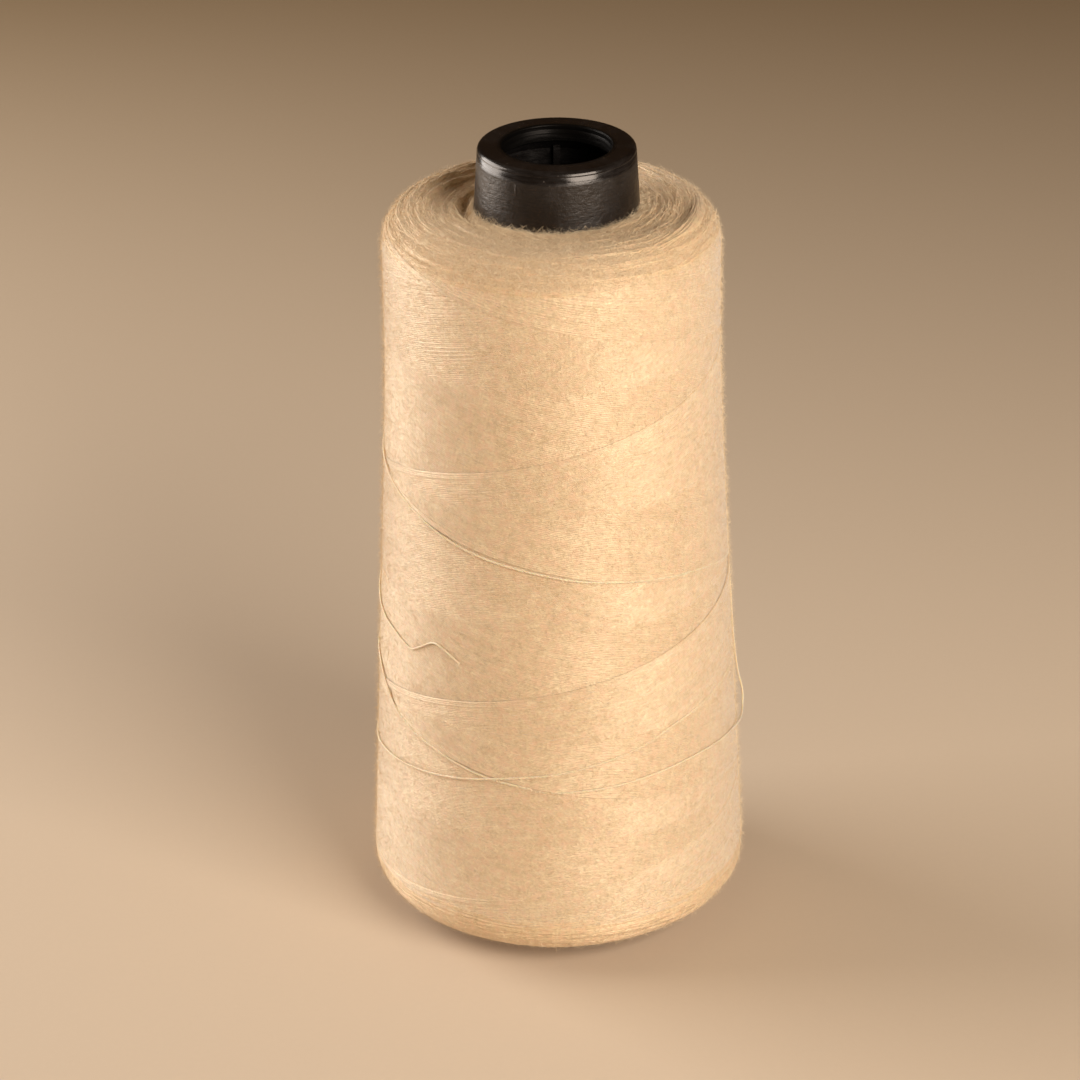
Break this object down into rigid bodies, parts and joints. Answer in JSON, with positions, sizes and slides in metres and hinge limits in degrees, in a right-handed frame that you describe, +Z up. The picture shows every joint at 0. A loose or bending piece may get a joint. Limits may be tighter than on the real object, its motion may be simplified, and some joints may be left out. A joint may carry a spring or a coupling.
{
  "type": "cone of sewing thread",
  "caption": "Tan sewing thread cross-wound on a hollow black plastic cone, with the bare nose showing above the thread and a loose thread end.",
  "frame": {"origin": "on the cone's axis, in the plane that the cone's foot stands on", "axes": "+Z up the cone's axis towards the nose; -X is the side on which the thread lies slightly thicker; the thread's loose end crosses the -Y side"},
  "size_m": [0.0677, 0.0672, 0.145],
  "materials": {
    "black_plastic": "satin",
    "tan_thread": "spun thread, matt",
    "tan_strand": "spun thread, matt"
  },
  "bodies": {
    "root": {"cone_core": "black_plastic", "thread_package": "tan_thread", "outer_winding": "tan_strand", "thread_tail": "tan_strand"}
  },
  "joints": []
}
